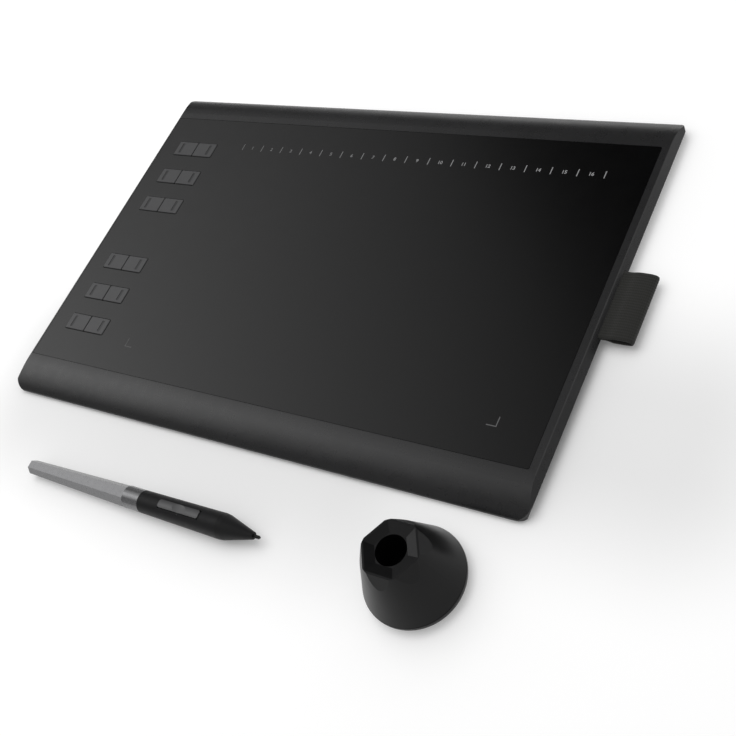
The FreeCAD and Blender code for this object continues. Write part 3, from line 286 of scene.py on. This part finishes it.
def key_plastic(top):
    """Key plastic with painted shade, darker in the recessed mark and down the sides where shade
    falls.
    """
    base = (0.0500, 0.0500, 0.0515)
    look = moulded("key_plastic", base, 0.4, depth=0.012 * MM)
    dark, light = KEY_RECESS_SHADE
    # Painted shade: darker below the key's top, in the recessed mark and down the sides
    recess_shade = look.spread(look.along("Z"), top - dark, top - light)
    look.paint(recess_shade, shade(base, 0.35), base)
    return look.material


def rubber(name, color, roughness):
    """Matt rubber with a coarse grain."""
    look = Shader(name, color, roughness, specular=0.35)
    specks = look.spread(look.noise(300.0, 4.0), 0.3, 0.7)
    look.paint(specks, shade(color, 0.8), shade(color, 1.2))
    look.roughen(look.noise(900.0), roughness - 0.06, roughness + 0.06)
    look.bump(look.noise(2200.0, 4.0), 0.05 * MM, 0.7)
    return look.material


def metal(name, color, roughness, stretch=(1.0, 30.0, 30.0)):
    """Bare metal. Its brushing or winding runs along the axis that is stretched least."""
    look = Shader(name, color, roughness, metallic=1.0)
    grain = look.noise(260.0, 4.0, stretch)
    look.paint(look.spread(grain, 0.3, 0.7), shade(color, 0.85), shade(color, 1.1))
    look.roughen(grain, roughness - 0.06, roughness + 0.08)
    look.bump(grain, 0.01 * MM, 0.5)
    return look.material


def solder_mask():
    """Green board lacquer over wandering copper tracks."""
    base = (0.012, 0.09, 0.04)
    look = Shader("solder_mask", base, 0.3)
    tracks = look.spread(look.waves(220.0, "X", 6.0), 0.42, 0.5)
    look.paint(tracks, base, shade(base, 1.8))
    look.bump(tracks, 0.03 * MM, 0.6)
    look.roughen(look.noise(200.0), 0.26, 0.36)
    return look.material


def cable_film():
    """Flat cable: pale film over darker conductors."""
    base = (0.62, 0.6, 0.52)
    look = Shader("cable_film", base, 0.35)
    lines = look.spread(look.waves(320.0, "Y"), 0.45, 0.55)
    look.paint(lines, base, shade(base, 0.72))
    look.bump(lines, 0.02 * MM, 0.4)
    return look.material


def soft_touch():
    """Rubbery coating on the pen's front barrel."""
    base = (0.0045, 0.0045, 0.0049)
    look = Shader("soft_touch", base, 0.5, specular=0.28)
    patches = look.spread(look.noise(60.0, 3.0), 0.3, 0.7)
    look.paint(patches, shade(base, 0.9), shade(base, 1.1))
    look.roughen(look.noise(400.0, 4.0), 0.46, 0.56)
    look.bump(look.noise(3600.0, 2.0), 0.01 * MM, 0.8)
    look.set("Sheen Weight", 0.02)
    look.set("Sheen Roughness", 0.4)
    return look.material


def silver_paint():
    """Satin metallic paint with a fine flake."""
    base = (0.21, 0.21, 0.215)
    look = Shader("silver_paint", base, 0.26, metallic=0.7)
    flake = look.cells(9000.0)
    look.paint(look.spread(flake, 0.1, 0.7), shade(base, 1.03), shade(base, 0.97))
    look.roughen(look.noise(500.0, 3.0), 0.23, 0.3)
    look.bump(flake, 0.0008 * MM, 0.3)
    return look.material


def rocker_plastic():
    """Smooth grey plastic of the side switch, with a thin gloss."""
    base = (0.040, 0.040, 0.0415)
    look = moulded("rocker_plastic", base, 0.3, grain=4200.0, depth=0.004 * MM)
    look.set("Coat Weight", 0.15)
    look.set("Coat Roughness", 0.25)
    return look.material


def elastic_fabric():
    """Woven elastic: ribs along its length are in the mesh, the weft and yarn fuzz are here."""
    base = (0.0165, 0.0165, 0.0148)
    look = Shader("elastic_fabric", base, 0.85, specular=0.2)
    weft = look.waves(340.0, "X", 0.6)
    yarn = look.noise(2600.0, 3.0, (1.0, 3.0, 1.0))
    weave = look.math("MULTIPLY", weft, yarn)
    look.paint(look.spread(weave, 0.1, 0.6), shade(base, 0.8), shade(base, 1.2))
    look.roughen(yarn, 0.8, 0.95)
    look.bump(weft, 0.05 * MM, 0.5)
    look.bump(yarn, 0.05 * MM, 0.6)
    look.set("Sheen Weight", 0.25)
    look.set("Sheen Roughness", 0.5)
    return look.material


def print_ink(name, base, most_shaded):
    """Grey print with the fine speckle of the sheet under it, and painted shade that makes it
    fainter towards the keys.
    """
    look = Shader(name, base, 0.6)
    speckle = look.spread(look.noise(2500.0, 2.0), 0.3, 0.6, 0.8, 1.1)
    # Painted shade: the ink is made fainter towards the keys, standing in for how the light falls
    # across the sheet
    strength = look.spread(look.along("X"), *INK_SHADE_SPAN, most_shaded, 1.0)
    look.paint(look.math("MULTIPLY", strength, speckle), shade(base, 0.05), base)
    look.bump(look.noise(4000.0), 0.01 * MM, 0.4)
    return look.material


def give(material, *names):
    """Gives the material to carried-over nodes, whose meshes stay as they are."""
    for name in names:
        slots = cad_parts[name].data.materials
        slots.clear()
        slots.append(material)


def give_plastic(nodes, name, color, roughness, **finish):
    """Makes a moulded plastic and gives it to the nodes."""
    give(moulded(name, color, roughness, **finish).material, *nodes)


def dress_nodes():
    give_plastic(["top_housing"], "housing_plastic", (0.0150, 0.0150, 0.0155), 0.28,
                 depth=0.008 * MM)
    give_plastic(["lower_housing"], "underside_plastic", (0.022, 0.022, 0.023), 0.55,
                 grain=1500.0, depth=0.05 * MM)
    give(sheet_surface(), "work_surface")
    keys = sorted(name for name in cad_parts
                  if name.startswith("key_") and name != "key_switches")
    give(key_plastic(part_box(keys[0])[1].z), *keys)
    give(rubber("foot_rubber", (0.018, 0.018, 0.018), 0.8), "rubber_feet", "holder_pad")
    steel = metal("steel", (0.5, 0.5, 0.51), 0.32)
    give(steel, "housing_screws", "clamp_screws", "loop_clamp", "nib_puller", "usb_socket")
    tin = metal("tin_plate", (0.62, 0.62, 0.6), 0.4)
    give(tin, "shield_plate", "key_switches", "pen_contacts")
    ballast = metal("ballast_steel", (0.34, 0.34, 0.35), 0.45, (20.0, 20.0, 1.0))
    give(ballast, "holder_ballast")
    copper = metal("copper_winding", (0.75, 0.36, 0.18), 0.3, (60.0, 1.0, 1.0))
    give(copper, "pen_coil")
    give(solder_mask(), "main_board", "digitiser_board", "pen_board")
    give_plastic(["main_board_chips", "usb_tongue", "pen_sensor"], "chip_resin",
                 (0.012, 0.012, 0.013), 0.5)
    give(cable_film(), "ribbon_cable")
    give(soft_touch(), "pen_front_barrel")
    give(silver_paint(), "pen_rear_barrel", "pen_tail_cap")
    give(rocker_plastic(), "pen_rocker")
    give_plastic(["pen_nib", "spare_nibs"], "nib_plastic", (0.004, 0.004, 0.004), 0.4, specular=0.3)
    give_plastic(["pen_carrier"], "carrier_plastic", (0.3, 0.3, 0.29), 0.5)
    give_plastic(["holder_shell", "holder_base"], "holder_plastic", (0.0022, 0.0022, 0.0024), 0.3,
                 depth=0.006 * MM, specular=0.24)


# Pieces that the scene adds

def add_mesh(name, verts, faces, material, body, slot, smooth=False):
    """A visible piece that rides on a body. Its slot argument is not used."""
    mesh = bpy.data.meshes.new(name)
    mesh.from_pydata(verts, [], faces)
    mesh.validate()
    mesh.materials.append(material)
    if smooth:
        mesh.polygons.foreach_set("use_smooth", [True] * len(mesh.polygons))
    piece = bpy.data.objects.new(name, mesh)
    bpy.context.scene.collection.objects.link(piece)
    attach(piece, body)
    return piece


def bar_shape(x0, x1, y0, y1, z0, z1):
    """Corners and faces of a thin printed bar."""
    verts = [(x, y, z) for z in (z0, z1) for x, y in ((x0, y0), (x1, y0), (x1, y1), (x0, y1))]
    faces = [(0, 3, 2, 1), (4, 5, 6, 7)]
    faces += [(i, (i + 1) % 4, 4 + (i + 1) % 4, 4 + i) for i in range(4)]
    return verts, faces


def merged(shapes):
    """Corners and faces of several shapes as those of one mesh."""
    verts, faces = [], []
    for part_verts, part_faces in shapes:
        start = len(verts)
        verts += part_verts
        faces += [tuple(start + i for i in face) for face in part_faces]
    return verts, faces


def ink_bottom():
    """Height of the underside of the print, just clear of the sheet."""
    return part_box("work_surface")[1].z + INK_LIFT


def ruler_step():
    return (RULER_RIGHT - RULER_LEFT) / RULER_FIELDS


def ruler_ticks(ink):
    half = LINE_WIDTH / 2
    z = ink_bottom()
    ticks = []
    for i in range(RULER_FIELDS + 1):
        x = RULER_LEFT + i * ruler_step()
        ticks.append(bar_shape(x - half, x + half, RULER_Y - TICK_LENGTH / 2,
                               RULER_Y + TICK_LENGTH / 2, z, z + INK_DEPTH))
    add_mesh("ruler_ticks", *merged(ticks), ink, "tablet", "sheet")


def corner_marks(ink):
    """The two front corners of the active area."""
    z = ink_bottom()
    half = LINE_WIDTH / 2
    bars = []
    for x, inward in ((RULER_LEFT, 1), (RULER_RIGHT, -1)):
        along = sorted((x - inward * half, x + inward * CORNER_LEG))
        bars.append(bar_shape(*along, AREA_FRONT - half, AREA_FRONT + half, z, z + INK_DEPTH))
        bars.append(bar_shape(x - half, x + half, AREA_FRONT + half, AREA_FRONT + CORNER_LEG,
                              z, z + INK_DEPTH))
    add_mesh("corner_marks", *merged(bars), ink, "tablet", "sheet")


def ruler_numbers(ink):
    """Plain numbers between the ticks, as flat letters of the built-in font."""
    middle = ink_bottom() + INK_DEPTH / 2
    shapes = []
    for i in range(RULER_FIELDS):
        curve = bpy.data.curves.new("number", "FONT")
        curve.body = str(i + 1)
        curve.size = NUMBER_HEIGHT
        curve.offset = NUMBER_BOLD
        curve.align_x = "CENTER"
        curve.align_y = "CENTER"
        curve.resolution_u = NUMBER_CURVE_STEPS
        curve.extrude = INK_DEPTH / 2
        text = bpy.data.objects.new("number", curve)
        bpy.context.scene.collection.objects.link(text)
        bpy.context.view_layer.update()
        evaluated = text.evaluated_get(bpy.context.evaluated_depsgraph_get())
        mesh = bpy.data.meshes.new_from_object(evaluated)
        place = Vector((RULER_LEFT + (i + 0.5) * ruler_step(), RULER_Y - NUMBER_DROP, middle))
        verts = [tuple(vertex.co + place) for vertex in mesh.vertices]
        faces = [tuple(polygon.vertices) for polygon in mesh.polygons]
        shapes.append((verts, faces))
        bpy.data.objects.remove(text)
        bpy.data.curves.remove(curve)
        bpy.data.meshes.remove(mesh)
    add_mesh("ruler_numbers", *merged(shapes), ink, "tablet", "sheet")


def loop_path():
    """Middle line of the elastic, out along the upper layer, round the fold and back, as (x, z)."""
    low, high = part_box("pen_loop")
    half = ELASTIC / 2
    inner = low.x + LOOP_END_GAP
    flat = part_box("top_housing")[1].x + LOOP_FLAT
    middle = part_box("loop_clamp")[1].z + ELASTIC
    upper, lower = middle + half, middle - half
    tip = high.x - half
    crown = low.x + LOOP_CROWN * (high.x - low.x)
    past_crown = crown + LOOP_CROWN_EASE * LOOP_EASE
    rise = high.z - half
    fall = low.z + half
    fold = middle - LOOP_DROOP
    curves = [
        ((inner, upper), (inner + LOOP_EASE, upper), (flat - LOOP_EASE, upper), (flat, upper)),
        ((flat, upper), (flat + LOOP_EASE, upper + LOOP_PARTING), (crown - LOOP_EASE, rise),
         (crown, rise)),
        ((crown, rise), (past_crown, rise), (tip, fold + LOOP_FOLD_ABOVE), (tip, fold)),
        ((tip, fold), (tip, fold - LOOP_FOLD_BELOW), (past_crown, fall), (crown, fall)),
        ((crown, fall), (crown - LOOP_EASE, fall), (flat + LOOP_EASE, lower - LOOP_PARTING),
         (flat, lower)),
        ((flat, lower), (flat - LOOP_EASE, lower), (inner + LOOP_EASE, lower), (inner, lower)),
    ]
    points = []
    for corners in curves:
        samples = interpolate_bezier(*map(Vector, corners), ELASTIC_PATH_STEPS)
        points += [Vector((p.x, p.y)) for p in samples[:-1]]
    points.append(Vector(curves[-1][-1]))
    return points


def elastic_loop():
    """Ribbed elastic strap folded into the loop: a closed ribbon with ribs along its length. Its
    edges are thinner and wander a little."""
    low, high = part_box("pen_loop")
    path = loop_path()
    across = ELASTIC_RIBS * ELASTIC_RIB_STEPS
    width = high.y - low.y - 2 * ELASTIC_MARGIN
    rows = []
    for i, point in enumerate(path):
        before = path[max(i - 1, 0)]
        after = path[min(i + 1, len(path) - 1)]
        along = (after - before).normalized()
        out = Vector((-along.y, along.x))
        ring = []
        for side in (1, -1):
            for k in range(across + 1):
                share = k / across if side > 0 else 1 - k / across
                edge = min(share, 1 - share) * 2
                inset = 1 - min(1.0, edge * ELASTIC_EDGE_ROUNDING)
                rounded = math.sqrt(max(0.0, 1 - inset ** 2))
                wave = math.cos(2 * math.pi * ELASTIC_RIBS * share)
                rib = ELASTIC_RIB_HEIGHT * (0.5 + 0.5 * wave)
                half = ((ELASTIC / 2 - ELASTIC_RIB_HEIGHT + rib)
                        * (ELASTIC_EDGE_THICKNESS + (1 - ELASTIC_EDGE_THICKNESS) * rounded))
                wander = ELASTIC_WANDER * math.sin(ELASTIC_WANDER_ALONG * i
                                                   + ELASTIC_WANDER_ACROSS * share)
                spot = point + out * (side * half)
                y = low.y + ELASTIC_MARGIN + share * width + wander * edge
                ring.append((spot.x, y, spot.y))
        rows.append(ring)
    size = len(rows[0])
    verts = [vertex for ring in rows for vertex in ring]
    faces = []
    for i in range(len(rows) - 1):
        for k in range(size):
            a = i * size + k
            b = i * size + (k + 1) % size
            faces.append((a, a + size, b + size, b))
    faces.append(tuple(range(size)))
    faces.append(tuple(reversed(range((len(rows) - 1) * size, len(rows) * size))))
    loop = add_mesh("elastic_loop", verts, faces, elastic_fabric(), "tablet", "loop", smooth=True)
    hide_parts("pen_loop")


def usb_contacts():
    """Gold fingers under the socket's tongue."""
    low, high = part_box("usb_tongue")
    middle = (low.y + high.y) / 2
    bars = []
    for i in range(USB_CONTACTS):
        y = middle + (i - (USB_CONTACTS - 1) / 2) * USB_PITCH
        bars.append(bar_shape(low.x + USB_BACK_GAP, high.x - USB_FRONT_GAP,
                              y - USB_HALF_WIDTH, y + USB_HALF_WIDTH,
                              low.z - USB_DEPTH, low.z - USB_GAP))
    gold = metal("contact_gold", (0.85, 0.6, 0.25), 0.25)
    add_mesh("usb_contacts", *merged(bars), gold, "tablet", "steel")


# Surroundings

def floor():
    """Pale floor that keeps the soft shadows. Away from its grey spots, which are painted shadows in
    front of and to the right of the tablet, it fades to the white of the background, for the camera
    alone."""
    mesh = bpy.data.meshes.new("floor")
    corners = [(FLOOR_HALF * x, FLOOR_HALF * y, 0) for x, y in ((-1, -1), (1, -1), (1, 1), (-1, 1))]
    mesh.from_pydata(corners, [], [(0, 1, 2, 3)])
    obj = bpy.data.objects.new("floor", mesh)
    bpy.context.scene.collection.objects.link(obj)
    obj.location.z = -FLOOR_DROP
    look = Shader("floor_paper", FLOOR_COLOR, 0.9, specular=0.1)
    look.paint(look.noise(6.0, 2.0), FLOOR_DARKER, FLOOR_LIGHTER)
    lift = FLOOR_LIFT
    # Painted shadows: inside the grey spots the lift is held back, so the floor stays grey near the
    # tablet
    for spot in PAINTED_SHADOW_SPOTS:
        squares = []
        for axis, (centre, half) in zip("XY", spot):
            offset = look.math("ABSOLUTE", look.math("SUBTRACT", look.along(axis), centre))
            beyond = look.math("MAXIMUM", look.math("SUBTRACT", offset, half), 0.0)
            squares.append(look.math("MULTIPLY", beyond, beyond))
        away = look.math("SQRT", look.math("ADD", *squares))
        lift = look.math("MULTIPLY", look.spread(away, *PAINTED_SHADOW_FADE, kind="SMOOTHSTEP"), lift)
    lift = look.math("ADD", lift, look.spread(away, *FAR_FADE, 0.0, FAR_LIFT))
    seen = look.nodes.new("ShaderNodeLightPath").outputs["Is Camera Ray"]
    look.join(look.math("MULTIPLY", lift, seen), look.bsdf.inputs["Emission Strength"])
    look.set("Emission Color", (1.0, 1.0, 1.0, 1.0))
    mesh.materials.append(look.material)


def world_light():
    """White background to the camera and an even glow for matt surfaces. Mirrored directions see the
    wall of light, which fades to the right and to the back, the low glow behind the tablet, and the
    pale room: high up at the right, at the front right, at the far left and faintly in front."""
    world = bpy.data.worlds.new("studio")
    bpy.context.scene.world = world
    world.use_nodes = True
    nodes, links = world.node_tree.nodes, world.node_tree.links
    split = nodes.new("ShaderNodeSeparateXYZ")
    links.new(nodes.new("ShaderNodeTexCoord").outputs["Generated"], split.inputs["Vector"])
    across, along, up = split.outputs["X"], split.outputs["Y"], split.outputs["Z"]

    def ramp(value, start, end, kind="LINEAR"):
        remap = nodes.new("ShaderNodeMapRange")
        remap.interpolation_type = kind
        remap.inputs["From Min"].default_value = start[0]
        remap.inputs["To Min"].default_value = start[1]
        remap.inputs["From Max"].default_value = end[0]
        remap.inputs["To Max"].default_value = end[1]
        links.new(value, remap.inputs["Value"])
        return remap.outputs["Result"]

    def soft(value, edge):
        return ramp(value, *edge, kind="SMOOTHSTEP")

    def combine(operation, *values):
        result = values[0]
        for value in values[1:]:
            node = nodes.new("ShaderNodeMath")
            node.operation = operation
            links.new(result, node.inputs[0])
            links.new(value, node.inputs[1])
            result = node.outputs["Value"]
        return result

    def choose(factor, otherwise, chosen):
        mix = nodes.new("ShaderNodeMix")
        mix.data_type = "FLOAT"
        links.new(factor, mix.inputs["Factor"])
        for socket, value in (("A", otherwise), ("B", chosen)):
            if isinstance(value, float):
                mix.inputs[socket].default_value = value
            else:
                links.new(value, mix.inputs[socket])
        return mix.outputs["Result"]

    wall = combine("MULTIPLY", ramp(across, WALL_RIGHT, WALL_LEFT),
                   ramp(along, WALL_NEAR, WALL_FAR),
                   soft(along, WALL_FRONT_EDGE), soft(along, WALL_FRONT_GAIN),
                   soft(combine("ADD", across, along), WALL_CORNER), soft(up, WALL_LOW_EDGE))
    glow = combine("MULTIPLY", soft(across, GLOW_LEFT_EDGE), soft(up, GLOW_HEIGHT),
                   soft(along, GLOW_NEAR_EDGE))
    front = combine("MULTIPLY", soft(across, ROOM_FRONT_SIDE), soft(along, ROOM_FRONT_EDGE))
    right = combine("MULTIPLY", soft(across, ROOM_RIGHT_EDGE), soft(up, ROOM_LOW_EDGE))
    mirrored = combine("MAXIMUM", combine("ADD", wall, glow), right, front,
                       soft(across, ROOM_LEFT_EDGE), soft(along, ROOM_NEAR_EDGE))
    path = nodes.new("ShaderNodeLightPath")
    seen = choose(path.outputs["Is Glossy Ray"], AMBIENT, mirrored)
    seen = choose(path.outputs["Is Camera Ray"], seen, 1.0)
    background = nodes["Background"]
    background.inputs["Color"].default_value = (1.0, 1.0, 1.0, 1.0)
    links.new(seen, background.inputs["Strength"])


def overhead_lamp():
    """Large soft lamp for the shadows and the matt surfaces. Nothing mirrors it."""
    lamp = bpy.data.lights.new("overhead", "AREA")
    lamp.shape = "SQUARE"
    lamp.size = OVERHEAD_SIZE
    lamp.energy = OVERHEAD_POWER
    obj = bpy.data.objects.new("overhead", lamp)
    bpy.context.scene.collection.objects.link(obj)
    place = Vector(OVERHEAD_PLACE)
    obj.location = place
    obj.rotation_euler = (Vector(OVERHEAD_AIM) - place).to_track_quat("-Z", "Y").to_euler()
    obj.visible_glossy = False


def camera():
    """Looks down at the tablet from its front right, rolled as in the photograph."""
    forward = Vector((-math.sin(CAMERA_AZIMUTH) * math.cos(CAMERA_ELEVATION),
                      math.cos(CAMERA_AZIMUTH) * math.cos(CAMERA_ELEVATION),
                      -math.sin(CAMERA_ELEVATION)))
    level = Vector((math.cos(CAMERA_AZIMUTH), math.sin(CAMERA_AZIMUTH), 0.0))
    upright = level.cross(forward)
    right = level * math.cos(CAMERA_ROLL) + upright * math.sin(CAMERA_ROLL)
    up = upright * math.cos(CAMERA_ROLL) - level * math.sin(CAMERA_ROLL)
    lens = bpy.data.cameras.new("camera")
    lens.sensor_width = SENSOR_WIDTH
    lens.lens = FOCAL_PIXELS / PHOTO_WIDTH * SENSOR_WIDTH
    lens.clip_start = CLIP_START
    obj = bpy.data.objects.new("camera", lens)
    turn = Matrix((right, up, -forward)).transposed().to_4x4()
    obj.matrix_world = Matrix.Translation(CAMERA_TARGET - forward * CAMERA_DISTANCE) @ turn
    bpy.context.scene.collection.objects.link(obj)
    bpy.context.scene.camera = obj


def main():
    bpy.context.scene.view_settings.view_transform = "Standard"
    camera()
    dress_nodes()
    ruler_ink = print_ink("ruler_ink", RULER_GREY, RULER_MOST_SHADED)
    ruler_ticks(ruler_ink)
    ruler_numbers(ruler_ink)
    corner_marks(print_ink("corner_ink", CORNER_GREY, CORNER_MOST_SHADED))
    elastic_loop()
    usb_contacts()
    floor()
    world_light()
    overhead_lamp()


main()
